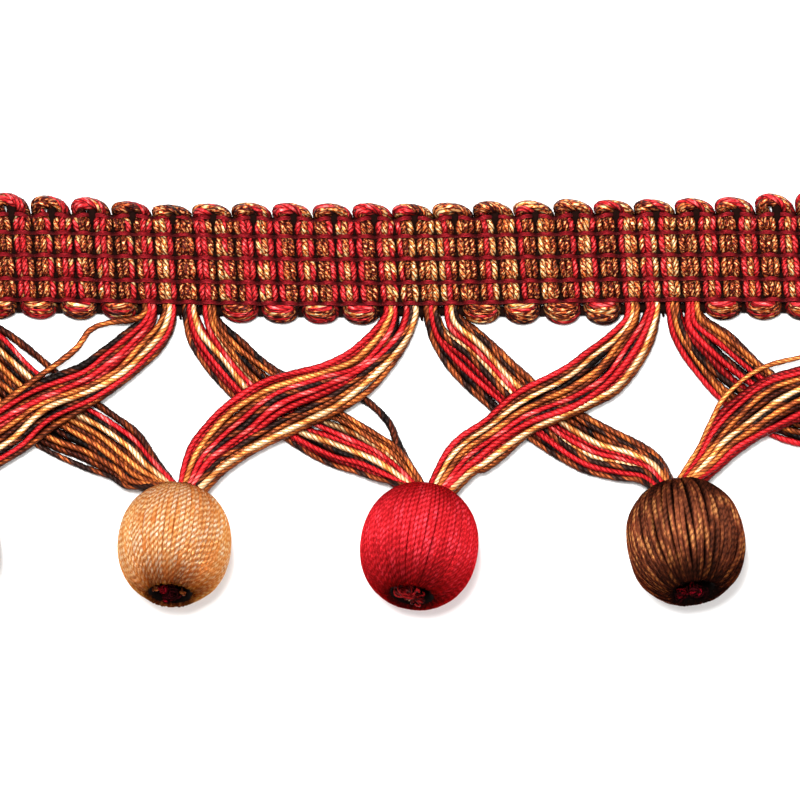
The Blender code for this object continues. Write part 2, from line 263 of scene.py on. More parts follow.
# where each dye starts on a scale from 0 to 1; most of the yarn lies between 0.35 and 0.65.
# The palest stops are pale flecks of the yarn and partly painted glints
mixtures = {
    "crimsonMix": [(0.37, "#640c10"), (0.44, "#d02026"), (0.54, "#ee3236"), (0.64, "#ff7874")],
    "creamMix": [(0.37, "#6c200c"), (0.43, "#dc6820"), (0.50, "#ffa650"), (0.57, "#ffe6b0")],
    "goldMix": [(0.41, "#480e0e"), (0.46, "#c04420"), (0.53, "#fa8838"), (0.59, "#ffd294")],
    "darkMix": [(0.46, "#2a0c0c"), (0.51, "#942c18"), (0.57, "#e47030"), (0.63, "#ffc484")],
}
finishes = {name: rayonYarn("rayon_" + name, crown, deep) for name, (crown, deep) in dyesAndCreviceShades.items()}
for name, moulinee in mixtures.items():
    # the colour painted as shade between the strands of the mixed yarns
    creviceShade = "#5c0c10" if name == "crimsonMix" else "#48120c"
    finishes[name] = rayonYarn("rayon_" + name, moulinee[2][1], creviceShade, strands=5, moulinee=moulinee)

# the ties' cut ends are brushed, without gloss
for name in ("tie", "maroon"):
    setShader(finishes[name], {"Metallic": 0.0, "Specular IOR Level": 0.0})

# painted shade: a dull black-brown filler, like mercerised cotton, that closes the gaps so that they look as
# dark as shade
gapShadeFinish = newMaterial("painted_gap_shade_filler")
tree = gapShadeFinish.node_tree
shader = setShader(gapShadeFinish, {"Roughness": 0.95, "Specular IOR Level": 0.05})
place = addNode(tree, "TexCoord")
grain = {"Scale": 2500.0, "Detail": 2.0}
fuzz = addNode(tree, "TexNoise", grain, {"Vector": place.outputs["Object"]})
shade = addNode(
    tree, "Mix", {"data_type": "RGBA", 6: paint("#060201"), 7: paint("#1c0a06")},
    {0: fuzz.outputs["Fac"]},
)
tree.links.new(shade.outputs[2], shader.inputs["Base Color"])
finishes["filler"] = gapShadeFinish

# the dye of each of the three plies, in the open skeins and in the woven gimp
plyColours = {
    "crimson": ("crimson", "crimson", "crimson"),
    "rose": ("crimson", "rose", "crimson"),
    "cream": ("cream", "cream", "gold"),
    "gold": ("gold", "gold", "tan"),
    "tan": ("tan", "tan", "brown"),
    "brown": ("brown", "brown", "tan"),
    "dark": ("dark", "dark", "brown"),
    "fleck": ("brown", "brown", "dark"),
    "burgundy": ("burgundy",) * 3,
    "tie": ("tie",) * 3,
    "maroon": ("maroon",) * 3,
    "filler": ("filler",) * 3,
}
gimpColours = {
    "crimson": ("crimsonMix",) * 3,
    "rose": ("crimsonMix", "crimsonMix", "creamMix"),
    "cream": ("creamMix",) * 3,
    "gold": ("goldMix", "creamMix", "goldMix"),
    "tan": ("goldMix",) * 3,
    "brown": ("darkMix", "goldMix", "darkMix"),
    "dark": ("darkMix",) * 3,
    "fleck": ("darkMix", "goldMix", "goldMix"),
}
print("finishes are mixed")


# section outlines of yarns as radii round the middle; 1.0 is the yarn's own half thickness
sections = {
    "threePly": {"radii": [0.91, 1.0, 1.0] * 3, "plies": 3},
    "gimp": {"radii": [0.93, 1.0, 1.0] * 3, "plies": 3},
    "round": {"radii": [1.0] * 6, "plies": 1},
    "fine": {"radii": [1.0] * 5, "plies": 1},
}


def lengthAlong(points):
    steps = np.linalg.norm(np.diff(points[:, :3], axis=0), axis=1)
    return np.concatenate([[0.0], np.cumsum(steps)])


# even steps along a list of close points
def evenSteps(points, step):
    along = lengthAlong(points)
    count = max(int(round(along[-1] / step)), 2)
    marks = np.linspace(0.0, along[-1], count + 1)
    return np.column_stack([np.interp(marks, along, points[:, axis]) for axis in range(points.shape[1])])


# a smooth line through a few points
def smoothLine(points, fill=14):
    given = np.array(points, dtype=float)
    given = np.vstack([2 * given[0] - given[1], given, 2 * given[-1] - given[-2]])
    line = []
    t = np.linspace(0.0, 1.0, fill, endpoint=False)[:, None]
    for at in range(1, len(given) - 2):
        a, b, c, d = given[at - 1:at + 3]
        bend = (2 * a - 5 * b + 4 * c - d) * t ** 2 + (3 * b - a - 3 * c + d) * t ** 3
        line.append(0.5 * (2 * b + (c - a) * t + bend))
    return np.vstack(line + [given[-2][None]])


# painted shade: how dark the flanks of a yarn go, where its neighbours press on it and would shade it
paintedFlankShade = {"dark": 0.06, "from": 0.14, "to": 0.82}
capPaintedLight = 0.5
fullTurn = 6.28  # radians, for turns by chance


# lays yarns as curves with a twisted section, makes them one mesh and gives each ply its colour
def layYarns(
    name, yarns, section, colours=plyColours, materials=finishes, outward=None, dark=paintedFlankShade["dark"],
):
    radii, plies = sections[section]["radii"], sections[section]["plies"]
    sides = len(radii)
    outline = bpy.data.curves.new(name + "_section", "CURVE")
    outline.dimensions = "2D"
    ring = outline.splines.new("POLY")
    ring.points.add(sides - 1)
    for at, radius in enumerate(radii):
        turn = 2 * math.pi * at / sides
        ring.points[at].co = (radius * math.cos(turn) * mm, radius * math.sin(turn) * mm, 0.0, 1.0)
    ring.use_cyclic_u = True
    outlineObject = bpy.data.objects.new(name + "_section", outline)
    scene.collection.objects.link(outlineObject)

    curve = bpy.data.curves.new(name, "CURVE")
    curve.dimensions = "3D"
    curve.bevel_mode = "OBJECT"
    curve.bevel_object = outlineObject
    curve.use_fill_caps = True
    curve.twist_mode = "MINIMUM"
    for yarn in yarns:
        points = yarn["points"]
        spline = curve.splines.new("POLY")
        spline.points.add(len(points) - 1)
        coords = np.ones((len(points), 4))
        coords[:, :3] = points[:, :3] * mm
        # where a yarn is slack, its twist opens out
        tight = np.broadcast_to(yarn.get("tight", 1.0), len(points))
        yarn["along"] = np.concatenate([[0.0], np.cumsum(np.diff(lengthAlong(points)) * tight[1:])])
        tilt = yarn.get("phase", 0.0) + 2 * math.pi * yarn["along"] / yarn.get("pitch", math.inf)
        spline.points.foreach_set("co", coords.ravel())
        spline.points.foreach_set("tilt", tilt)
        spline.points.foreach_set("radius", np.broadcast_to(yarn["thick"], len(points)) / 2.0)
    piece = bpy.data.objects.new(name, curve)
    scene.collection.objects.link(piece)
    selectOnly(piece)
    bpy.ops.object.convert(target="MESH")
    piece = bpy.context.view_layer.objects.active
    bpy.data.objects.remove(outlineObject)

    # the caps' points come first, last yarn foremost, and then each yarn ring by ring
    mesh = piece.data
    used = sorted({ply for yarn in yarns for ply in colours[yarn["colour"]]})
    mesh.materials.clear()
    for ply in used:
        mesh.materials.append(materials[ply])
    lanes = []
    for yarn in yarns:
        dyed = colours[yarn["colour"]]
        lanes.append([used.index(dyed[at % len(dyed)]) for at in range(plies)])
    lanes = np.array(lanes)
    capPoints = 2 * sides * len(yarns)
    along = [np.zeros(capPoints)]
    around = [np.zeros(capPoints, dtype=int)]
    owner = [np.repeat(np.arange(len(yarns))[::-1], 2 * sides)]
    for at, yarn in enumerate(yarns):
        along.append(np.repeat(yarn["along"] + yarn.get("start", 0.0), sides))
        around.append(np.tile(np.arange(sides), len(yarn["points"])))
        owner.append(np.full(sides * len(yarn["points"]), at))
    along, around, owner = map(np.concatenate, (along, around, owner))
    corners = np.empty(len(mesh.loops), dtype=np.int32)
    mesh.loops.foreach_get("vertex_index", corners)
    first = np.empty(len(mesh.polygons), dtype=np.int32)
    mesh.polygons.foreach_get("loop_start", first)
    total = np.empty(len(mesh.polygons), dtype=np.int32)
    mesh.polygons.foreach_get("loop_total", total)
    low = np.minimum.reduceat(around[corners], first)
    high = np.maximum.reduceat(around[corners], first)
    closing = (high - low > 1) & (total == 4)
    place = np.where(closing, sides - 1, low)
    dyed = lanes[owner[corners[first]], place * plies // sides]
    mesh.polygons.foreach_set("material_index", dyed.astype(np.int32))
    wide = np.repeat(closing, total)
    turn = around[corners] / sides
    turn[wide & (around[corners] == 0)] = 1.0
    for old in list(mesh.uv_layers):
        mesh.uv_layers.remove(old)
    yarnMap = mesh.uv_layers.new(name="yarn")
    yarnMap.data.foreach_set("uv", np.column_stack([along[corners], turn]).astype(np.float32).ravel())

    # painted light: full on the sides that face out of the bundle, low on the flanks, where shade is painted
    spots = np.empty(len(mesh.vertices) * 3)
    mesh.vertices.foreach_get("co", spots)
    spots = spots.reshape(-1, 3) / mm
    paintedLight = np.zeros(len(spots))
    at = capPoints
    for yarn in yarns:
        count = len(yarn["points"])
        ring = spots[at:at + count * sides].reshape(count, sides, 3)
        offset = ring - yarn["points"][:, None, :3]
        out = outward(yarn["points"][:, :3]) if outward else np.array([[0.0, 0.0, 1.0]])
        facing = np.einsum("ijk,ik->ij", offset, np.broadcast_to(out, (count, 3)))
        facing = np.abs(facing) / np.maximum(np.linalg.norm(offset, axis=2), 1e-6)
        share = (facing - paintedFlankShade["from"]) / (paintedFlankShade["to"] - paintedFlankShade["from"])
        share = np.clip(share, 0.0, 1.0)
        share = share * share * (3 - 2 * share)
        share = dark + (1 - dark) * share
        share = share * np.broadcast_to(yarn.get("open", 1.0), count)[:, None]
        paintedLight[at:at + count * sides] = share.ravel()
        at += count * sides
    paintedLight[:capPoints] = capPaintedLight
    layer = mesh.attributes.new("paintedLight", "FLOAT", "POINT")
    layer.data.foreach_set("value", paintedLight.astype(np.float32))
    mesh.shade_smooth()
    return piece


# the heading's layout in mm
heading = {
    "pitch": 3.125,           # from column to column
    "columns": 60,
    "perRepeat": 12,
    "warps": [6.4, 3.7, 0.2, -3.5, -6.7],
    "warpHalf": 0.32,
    "lean": 0.08,
    "rootEdge": -7.4,
    "topStart": 6.72,         # where the loops begin
    "bottomStart": -7.05,
    "edgeSpan": 2.7,          # from the outer warps to where a column would end
    "slot": 0.95,             # from yarn to yarn in a column
    "pinch": 0.70,            # how near they come under a warp
    "plump": 0.45,            # how soon they swell beyond it
    "apart": 0.34,            # how far a top loop pushes its two columns apart
    "apartFrom": 4.4,
    "apartOver": 2.3,
    "thick": 1.12,
    "step": 0.44,
    "plyPitch": 3.8,
    "frontLow": 1.50,
    "frontHigh": 2.50,
    "flankDrop": 0.26,
    "backLow": 0.80,
    "backHigh": 0.56,
    # painted light of a column under a warp: painted shade there
    "underWarp": 0.12,        # openness
}
headingHalf = heading["pitch"] * heading["columns"] / 2
bowing = {"depth": 0.35, "length": 115.0, "centre": -12.0, "fade": (-20.0, -9.0)}
repeat = heading["pitch"] * heading["perRepeat"]
rootsX = [(at - 2) * repeat for at in range(5)]


# leans and bows points of the flat heading, as it lies
def layFlat(points):
    points = np.array(points, dtype=float)
    x = points[:, 0] - heading["lean"] * (points[:, 1] - heading["rootEdge"])
    low, high = bowing["fade"]
    share = np.clip((points[:, 1] - low) / (high - low), 0.0, 1.0)
    bow = bowing["depth"] * np.cos(2 * math.pi * (x - bowing["centre"]) / bowing["length"])
    return np.column_stack([x, points[:, 1] - bow * share, points[:, 2]])


# a line of points as it lies, from lists or single numbers
def flatLine(x, y, z):
    return layFlat(np.column_stack(np.broadcast_arrays(x, y, z)))


# 1 between the warps, 0 where a warp pinches the column
def swell(y):
    warps, span = heading["warps"], heading["edgeSpan"]
    edges = [warps[0] + span] + warps + [warps[-1] - span]
    full = np.zeros_like(y)
    for upper, lower in zip(edges, edges[1:]):
        upper, lower = upper - heading["warpHalf"], lower + heading["warpHalf"]
        inside = (y <= upper) & (y >= lower)
        full[inside] = np.sin(math.pi * (upper - y[inside]) / (upper - lower)) ** heading["plump"]
    return full


def columnX(column):
    return (column + 0.5) * heading["pitch"] - headingHalf


# points of one yarn down a column; side is -1, 0 or 1 and layer 1 on the face, -1 behind.
# The last two numbers are its painted light, with painted shade under the warps, and its tightness.
def columnLine(column, side, layer, top, bottom, wobble):
    y = np.arange(top, bottom, -0.16)
    full = swell(y)
    x = columnX(column) + side * heading["slot"] * (heading["pinch"] + (1 - heading["pinch"]) * full)
    x = x + wobble * np.sin(y * 1.3 + column)
    # the two columns under a top loop are pushed apart at the top
    pushed = np.clip((y - heading["apartFrom"]) / heading["apartOver"], 0, 1) ** 1.5
    x = x + (-1 if column % 2 else 1) * heading["apart"] * pushed
    low, high = ("frontLow", "frontHigh") if layer > 0 else ("backLow", "backHigh")
    z = heading[low] + (heading[high] - heading[low]) * full
    if layer > 0:
        z = z - heading["flankDrop"] * abs(side) * full
    # painted shade: darker where the warps pinch the column
    shade = heading["underWarp"] + (1 - heading["underWarp"]) * full
    return np.column_stack([x, y, z, shade, np.ones_like(y)])


slotOrder = [(1, 1), (0, 1), (-1, 1), (-1, -1), (0, -1), (1, -1)]  # outward side, layer
slotTurns = [45, 90, 135, 225, 270, 315]
loops = {
    "points": 26,
    "joint": 2,               # points left out where a loop meets its columns
    "rise": 1.36,
    "uneven": 0.10,
    "bulge": 0.24,
    # a top loop's half breadth, half depth and middle height, at its columns and at its crest
    "breadth": (heading["slot"] * heading["pinch"] * 1.2, 0.52),
    "depth": (0.62, 0.92),
    "middle": (1.23, 1.72),
    # painted shade at a top loop's feet
    "footShade": 0.45,
    # painted shade in the hollow under it: its size in mm, and the painted light it takes away
    "hollow": {"size": 0.95, "aside": -0.2, "up": 0.1, "reach": 1.75, "dark": 0.93},
    # how far the crests lean, and how they rise and fall, along the heading
    "tips": [(-30, -0.75), (-10, -0.85), (0, -1.05), (30, -1.05), (45, -0.85)],
    "crests": [
        (-65, 0.8), (-52, 0.15), (-39, -0.65), (-27, -0.2), (-8, -0.1), (-3, -0.35),
        (5, -0.3), (12, 0.0), (35, -0.2), (48, 0.0), (58, 1.1),
    ],
    # a bottom loop's drop and half width, from its inmost yarn to its outmost
    "drop": (0.42, 2.35),
    "lowWidth": (2.35, 2.8),
    "lowLevel": (2.05, 0.24),  # the inmost yarn's height, and the fall from each to the next
    # painted shade on a bottom loop: darker towards its ends, and for the outer yarns by rank
    "lowShade": (0.28, 0.66),
    "rankShade": (1.15, 0.13),
    # how much further the outmost hang, along the heading
    "lows": [(-30, -0.12), (-12, 0.05), (9, 0.25), (17, 0.4), (30, 0.75), (42, 0.0)],
}


# from one value at the foot to another where share is 1
def between(ends, share):
    return ends[0] + (ends[1] - ends[0]) * share


# a top loop from the top of one column to the next, with the bundle turning over as it goes
def topLoop(boundary, side, layer, turns, grow):
    start = slotOrder.index((-side, layer))
    stop = start + turns
    ends = (slotTurns[start], slotTurns[stop % 6] + 360 * (stop // 6))
    t = np.linspace(0.0, 1.0, loops["points"])
    arc = math.pi * t
    turn = np.radians(between(ends, t))
    half = heading["pitch"] / 2 + heading["apart"] + loops["bulge"] * np.sin(arc)
    x = boundary - half * np.cos(arc) + np.interp(boundary, *zip(*loops["tips"])) * np.sin(arc)
    y = heading["topStart"] + (loops["rise"] + grow) * np.sin(arc) ** 0.75
    free = np.sin(arc) ** 0.6
    n = np.cos(turn) * between(loops["breadth"], free)
    z = between(loops["middle"], free) + np.sin(turn) * between(loops["depth"], free)
    x, y = x - np.cos(arc) * n, y + np.sin(arc) * n
    # the light doesn't reach the hollow under the loop, so shade is painted there
    hollow = loops["hollow"]
    away = np.hypot(x - boundary + hollow["aside"], y - heading["topStart"] + hollow["up"])
    low = np.clip(hollow["reach"] - away / hollow["size"], 0, 1)
    shade = between((loops["footShade"], 1.0), free) * (1 - hollow["dark"] * low)
    line = np.column_stack([x, y, z, shade, 1 - 0.6 * np.sin(arc)])
    endSide, endLayer = slotOrder[stop % 6]
    return line, endSide, endLayer


# a bottom loop, where the yarns lie nested like crescents; it may fold the face to the back
def bottomLoop(boundary, side, layer, folds):
    outward = -side
    t = np.linspace(0.0, 1.0, loops["points"])
    arc = math.pi * t
    across = heading["pitch"] / 2 + outward * heading["slot"] * heading["pinch"]
    rank = (outward + 1) * 2 + (0 if layer > 0 else 1)
    low, high = loops["drop"]
    down = between((low, high + np.interp(boundary, *zip(*loops["lows"]))), rank / 5)
    wide = between(loops["lowWidth"], rank / 5)
    x = boundary - (across + (wide - across) * np.sin(arc) ** 0.3) * np.cos(arc)
    y = heading["bottomStart"] - down * np.sin(arc) ** 0.85
    endLayer = -layer if folds else layer
    levels = [heading["frontLow"] if at > 0 else heading["backLow"] for at in (layer, endLayer)]
    level = between(levels, t * t * (3 - 2 * t))
    nested = loops["lowLevel"][0] - loops["lowLevel"][1] * rank
    z = between((level, nested), np.sin(arc) ** 0.7)
    # painted shade: darker at the loop's ends and on its outer yarns
    shade = loops["lowShade"][0] + loops["lowShade"][1] * np.sin(arc) ** 0.9
    shade = np.minimum(shade * (loops["rankShade"][0] - loops["rankShade"][1] * rank), 1.0)
    return np.column_stack([x, y, z, shade, 1 - 0.75 * np.sin(arc) ** 0.7]), outward, endLayer


# the yarns of each skein across its width, from the left where it leaves the heading
skeinColours = {
    ("right", 0): "dark brown brown dark tan brown gold tan cream dark rose brown".split(),
    ("left", 1): "brown dark crimson brown rose rose tan brown cream dark crimson brown".split(),
    ("right", 1): "fleck crimson crimson dark cream crimson rose cream brown gold brown fleck".split(),
    ("left", 2): "crimson crimson gold brown rose dark rose crimson dark brown cream tan".split(),
    ("right", 2): "fleck dark crimson crimson dark cream rose crimson cream tan dark brown".split(),
    ("left", 3): "crimson brown cream dark tan brown rose dark crimson crimson cream gold".split(),
    ("right", 3): "crimson dark tan brown dark crimson crimson dark crimson brown tan brown".split(),
    ("left", 4): "gold crimson crimson brown tan brown cream dark tan brown crimson crimson".split(),
}


# the colour a yarn needs, so that it goes on into the left skein with the right one
def leftSkeinColour(column, side, layer):
    root, place = divmod(column, heading["perRepeat"])
    if place not in (4, 5) or ("left", root) not in skeinColours:
        return None
    return skeinColours["left", root][6 * (place - 4) + 2 * (side + 1) + (layer < 0)]


weave = {
    "seed": 11,
    "bundles": [
        ["crimson", "cream", "dark", "crimson", "gold", "fleck"],
        ["crimson", "gold", "crimson", "dark", "cream", "crimson"],
        ["rose", "crimson", "dark", "cream", "crimson", "fleck"],
        ["crimson", "fleck", "cream", "crimson", "dark", "rose"],
    ],
    "turns": [3, 3, 3, 4],    # sixths of a turn that a bundle makes in a top loop
    "folds": 0.85,            # the share of bottom loops that fold face to back
    "wobble": 0.05,
    "thickness": (0.95, 1.04),
    "plyPitches": (0.85, 1.25),
    "rootTuck": 0.15,
    "cutEnd": (0.5, 1.3),
    # painted shade on the flanks of the gimp's yarns
    "flank": 0.14,
}
chance = random.Random(weave["seed"])
rootYarns = {}
gimpPieces = []


# the weft bundles run in chains from one skein to the next, up and down the columns
def weaveChain(name, columns, startsAtSkein, endsAtSkein):
    bundle = list(chance.choice(weave["bundles"]))
    first = chance.randrange(6)
    bundle = bundle[first:] + bundle[:first]
    yarns = []
    turnsList = [chance.choice(weave["turns"]) for _ in columns]
    foldList = [chance.random() < weave["folds"] for _ in columns]
    growList = []
    for column in columns:
        crest = np.interp(columnX(column), *zip(*loops["crests"]))
        growList.append(chance.uniform(-1, 1) * loops["uneven"] + crest)
    for at, (side, layer) in enumerate(slotOrder):
        lines = []
        nowSide, nowLayer = side, layer
        down = columns[0] % 2 == 0
        wobble = chance.uniform(-1, 1) * weave["wobble"]
        firstSlot, lastSlot = None, None
        for order, column in enumerate(columns):
            firstColumn, lastColumn = order == 0, order == len(columns) - 1
            top, bottom = heading["topStart"], heading["bottomStart"]
            if (firstColumn and startsAtSkein) or (lastColumn and endsAtSkein):
                bottom = heading["warps"][-1] - weave["rootTuck"]
            line = columnLine(column, nowSide, nowLayer, top, bottom, wobble)
            if firstColumn and startsAtSkein:
                firstSlot = (column, nowSide, nowLayer)
            if lastColumn and endsAtSkein:
                lastSlot = (column, nowSide, nowLayer)
            lines.append(line if down else line[::-1])
            if not lastColumn:
                boundary = columnX(column) + heading["pitch"] / 2
                if down:
                    laid = bottomLoop(boundary, nowSide, nowLayer, foldList[order])
                else:
                    laid = topLoop(boundary, nowSide, nowLayer, turnsList[order], growList[order])
                loop, nowSide, nowLayer = laid
                lines.append(loop[loops["joint"]:-loops["joint"]])
                down = not down
        line = np.vstack(lines)
        # a cut end stands a little past the last column's top
        aside, upward = weave["cutEnd"]
        if not startsAtSkein:
            line = np.vstack([line[0] + np.array([-aside, upward, 0.0, 0.0, 0.0]), line])
        if not endsAtSkein:
            line = np.vstack([line, line[-1] + np.array([aside, upward, 0.0, 0.0, 0.0])])
        points = evenSteps(np.column_stack([layFlat(line), line[:, 3:]]), heading["step"])
        colour = bundle[at]
        for slot in (firstSlot, lastSlot):
            colour = (slot and leftSkeinColour(*slot)) or colour
        yarn = {
            "points": points,
            "open": points[:, 3],
            "tight": points[:, 4],
            "thick": heading["thick"] * chance.uniform(*weave["thickness"]),
            "colour": colour,
            "pitch": heading["plyPitch"] * chance.choice((1, -1)) * chance.uniform(*weave["plyPitches"]),
            "phase": chance.uniform(0, fullTurn),
        }
        yarns.append(yarn)
        for slot in (firstSlot, lastSlot):
            if slot:
                column, side, layer = slot
                member = {"side": side, "layer": layer, "colour": colour, "thick": yarn["thick"]}
                rootYarns.setdefault(column, []).append(member)
    piece = layYarns(name, yarns, "gimp", gimpColours, dark=weave["flank"])
    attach(piece, "root")
    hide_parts("heading")
    gimpPieces.append(piece)


weaveChain("gimp_end_left", list(range(0, 5)), False, True)
for rootAt in range(5):
    firstRoot = rootAt * heading["perRepeat"] + 5
    weaveChain("gimp_root_%d" % (rootAt + 1), [firstRoot, firstRoot + 1], True, True)
    if rootAt < 4:
        weaveChain("gimp_span_%d" % (rootAt + 1), list(range(firstRoot + 2, firstRoot + 12)), True, True)
weaveChain("gimp_end_right", list(range(55, 60)), True, False)
print("the gimp is woven:", sum(len(p.data.polygons) for p in gimpPieces), "faces")


# warps: three threads over the columns and two behind
warp = {
    "threads": 3, "apart": 0.21, "thick": 0.37, "step": 0.58, "tail": 1.2,
    "dip": 1.95, "crest": 2.40, "raised": 0.07, "closed": 0.75, "arch": 0.24, "archMiddle": 0.6,
    "back": 0.30, "backDip": 0.12, "dimDip": 0.30,
    "wave": 0.24,             # of the uppermost, which the top loops pull up and down
}
for rowAt, rowY in enumerate(heading["warps"]):
    reach = headingHalf + warp["tail"]
    x = np.arange(-reach, reach + 0.01, warp["step"])
    # 1 over the middle of a column, 0 between two
    crown = 0.5 - 0.5 * np.cos(2 * math.pi * (x + headingHalf) / heading["pitch"])
    crown = np.where(np.abs(x) > headingHalf, 0.0, crown)
    # painted shade: the warp threads are darker where they dip between the columns
    dim = between((warp["dimDip"], 1.0), crown ** 0.8)
    threads = []
    for thread in range(warp["threads"]):
        offset = (thread - 1) * warp["apart"]
        y = rowY + offset * between((warp["closed"], 1.0), crown)
        y = y + warp["arch"] * (crown - warp["archMiddle"])
        if rowAt == 0:
            y = y + warp["wave"] * np.cos(math.pi * (x + headingHalf) / heading["pitch"])
        z = between((warp["dip"], warp["crest"]), crown ** 0.55) + (warp["raised"] if thread == 1 else 0.0)
        threads.append({"points": flatLine(x, y, z)})
    for thread in range(2):
        z = warp["back"] + warp["backDip"] * (1.0 - crown)
        threads.append({"points": flatLine(x, rowY + (thread - 0.5) * warp["apart"], z)})
    for thread in threads:
        thread.update({"thick": warp["thick"], "colour": "burgundy", "open": dim})
    piece = layYarns("warp_threads_%d" % (rowAt + 1), threads, "fine")
    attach(piece, "root")
    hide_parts("warp_%d" % (rowAt + 1))

# dark filler cords between the face and the back of the weft: painted shade that darkens the gaps between the
# columns
filler = {
    "past": 0.4, "points": 360, "thick": 1.4, "level": 1.4, "wideGap": 3,
    # the one that backs the bottom loops
    "lowest": -7.98, "sags": [(9, 0), (14, -0.28), (30, -0.28), (34, 0)], "lowThick": 1.35, "wave": 0.3,
    "lowLevel": 0.72,
    # a dark end that hangs between the skeins of each root, as painted shade in the gap there
    "hangs": (-7.0, -9.4), "hangThick": (1.0, 0.3), "hangLevel": 0.6,
    # a dark plug under each top loop, as painted shade in its hollow: aside, up, share of the crest's rise,
    # height, thickness
    "plug": [
        (0.0, 5.2, 0.0, 1.5, 1.1), (0.1, 6.1, 0.0, 1.85, 1.45),
        (0.2, 6.9, 0.6, 1.8, 1.7), (0.1, 7.7, 1.0, 1.3, 1.5),
    ],
}
fillers = []
x = np.linspace(-headingHalf - filler["past"], headingHalf + filler["past"], filler["points"])
gapWaves = 0.5 + 0.5 * np.cos(2 * math.pi * x / (2 * heading["pitch"]))
y = filler["lowest"] + np.interp(x, *zip(*filler["sags"]))
points = flatLine(x, y, filler["lowLevel"])
fillers.append({"points": points, "thick": filler["lowThick"] + filler["wave"] * gapWaves})
for rootX in rootsX:
    hang = np.linspace(0.0, 1.0, 7)
    points = flatLine(rootX, between(filler["hangs"], hang), filler["hangLevel"])
    fillers.append({"points": points, "thick": between(filler["hangThick"], hang)})
for column in range(1, heading["columns"] - 1, 2):
    middle = columnX(column) + heading["pitch"] / 2
    crest = np.interp(middle, *zip(*loops["crests"]))
    points = layFlat([(middle + aside, up + share * crest, z) for aside, up, share, z, _ in filler["plug"]])
    fillers.append({"points": points, "thick": [spot[-1] for spot in filler["plug"]]})
for upper, lower in zip(heading["warps"], heading["warps"][1:]):
    count = 2 if upper - lower < filler["wideGap"] else 3
    for at in range(count):
        points = flatLine(x, between((upper, lower), (at + 0.5) / count), filler["level"])
        fillers.append({"points": points, "thick": filler["thick"]})
for cord in fillers:
    cord["colour"] = "filler"
piece = layYarns("filler_cords", fillers, "round")
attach(piece, "root")
print("warps and filler cords are laid")


# balls
ball = {
    "radius": 8.84, "halfLength": 9.7, "power": 2.22, "tilt": 29.0, "flat": 0.12, "rim": 4.4, "mouth": 3.6,
    # how deep the threads turn in, how far inside the mouth, and how they come round to the rim
    "turnIn": (6.7, 7.7), "inside": (0.1, 0.35), "lips": [(7.9, 0.12), (8.7, 0.45)], "step": 0.6,
    "rings": 60, "seed": 40,
}
# yarn, shift in x, y, turn in degrees
ballPlaces = [
    ("brown", 0.8, -44.0, 5), ("gold", -0.5, -44.2, -4), ("red", -0.3, -44.5, -9), ("brown", 3.2, -43.8, 9),
    ("gold", 1.0, -44.1, -3),
]


def ballOutline(rings, inset=0.0):
    start = math.asin((ball["rim"] / ball["radius"]) ** (ball["power"] / 2))
    angles = np.linspace(start, math.pi - start, rings)
    power = 2 / ball["power"]
    radius = (ball["radius"] - inset) * np.sin(angles) ** power
    axial = (ball["halfLength"] - inset) * np.sign(np.cos(angles)) * np.abs(np.cos(angles)) ** power
    return axial, radius


outlineAxial, outlineRadius = ballOutline(ball["rings"])
tilt = math.radians(ball["tilt"])
ballHeight = np.max(np.abs(outlineAxial) * math.sin(tilt) + outlineRadius * math.cos(tilt)) - ball["flat"]
ballFrames = []
for at, (_, shiftX, y, turn) in enumerate(ballPlaces):
    place = Matrix.Translation((rootsX[at] + shiftX, y, ballHeight))
    ballFrames.append(place @ Matrix.Rotation(math.radians(turn), 4, "Z") @ Matrix.Rotation(-tilt, 4, "X"))


def inFrame(matrix, points):
    turned = np.array(matrix.to_3x3())
    return points @ turned.T + np.array(matrix.translation)


# threads to a ball, their thickness and how regular they are; endShade is the painted shade towards the
# ball's ends, which leaves a lighter band round its middle, and rimFade is how far the painted shade comes
# out of a hole. Flank, deep, core and shaded are painted shade too, and the palest stops of mix are pale
# flecks of the yarn and partly painted glints
wraps = {
    "gold": {
        "count": 74, "thick": 0.92, "size": 0.984, "jitter": 0.03, "uneven": 0.03, "sway": 0.010,
        "spiral": 10, "rimFade": 5.0, "endShade": 0.40, "reach": 5, "flank": 0.6,
        "beads": {"pitch": 1.02, "slant": 2.4, "lift": 0.19, "stray": 1.6}, "flecks": (0.22, 1.1),
        "mix": [(0.34, "#f49c54"), (0.43, "#ffc680"), (0.51, "#ffe4a8"), (0.60, "#fff8d4")],
        "deep": "#dc8844", "core": "#a86630", "shaded": "#f08c44", "metallic": 0.45,
    },
    "red": {
        "count": 86, "thick": 0.80, "size": 1.024, "jitter": 0.05, "uneven": 0.03, "sway": 0.012,
        "spiral": 5, "rimFade": 10.0, "endShade": 0.18, "reach": 3, "flank": 0.5,
        "parting": (76, 0.2),     # at this turn in degrees the threads stand apart, by a share of a thread
        "beads": {"pitch": 1.0, "slant": 2.4, "lift": 0.09, "stray": 1.6}, "flecks": (0.22, 1.1),
        "mix": [(0.34, "#c4242c"), (0.44, "#e02c34"), (0.54, "#f03642"), (0.64, "#fc5060")],
        "deep": "#b41c22", "core": "#9c141c", "metallic": 0.42,
    },
    "brown": {
        "count": 64, "thick": 1.00, "size": 1.030, "jitter": 0.20, "uneven": 0.15, "sway": 0.030,
        "spiral": 3, "rimFade": 11.0, "endShade": 0.2, "reach": 3, "flank": 0.25,
        "beads": {"pitch": 1.0, "slant": 2.4, "lift": 0.025, "stray": 1.6}, "flecks": (0.2, 1.3),
        "mix": [(0.44, "#1c100e"), (0.49, "#602e20"), (0.54, "#a45c38"), (0.62, "#d49458")],
        "deep": "#6c3824", "core": "#1c100c", "metallic": 0.38,
    },
}
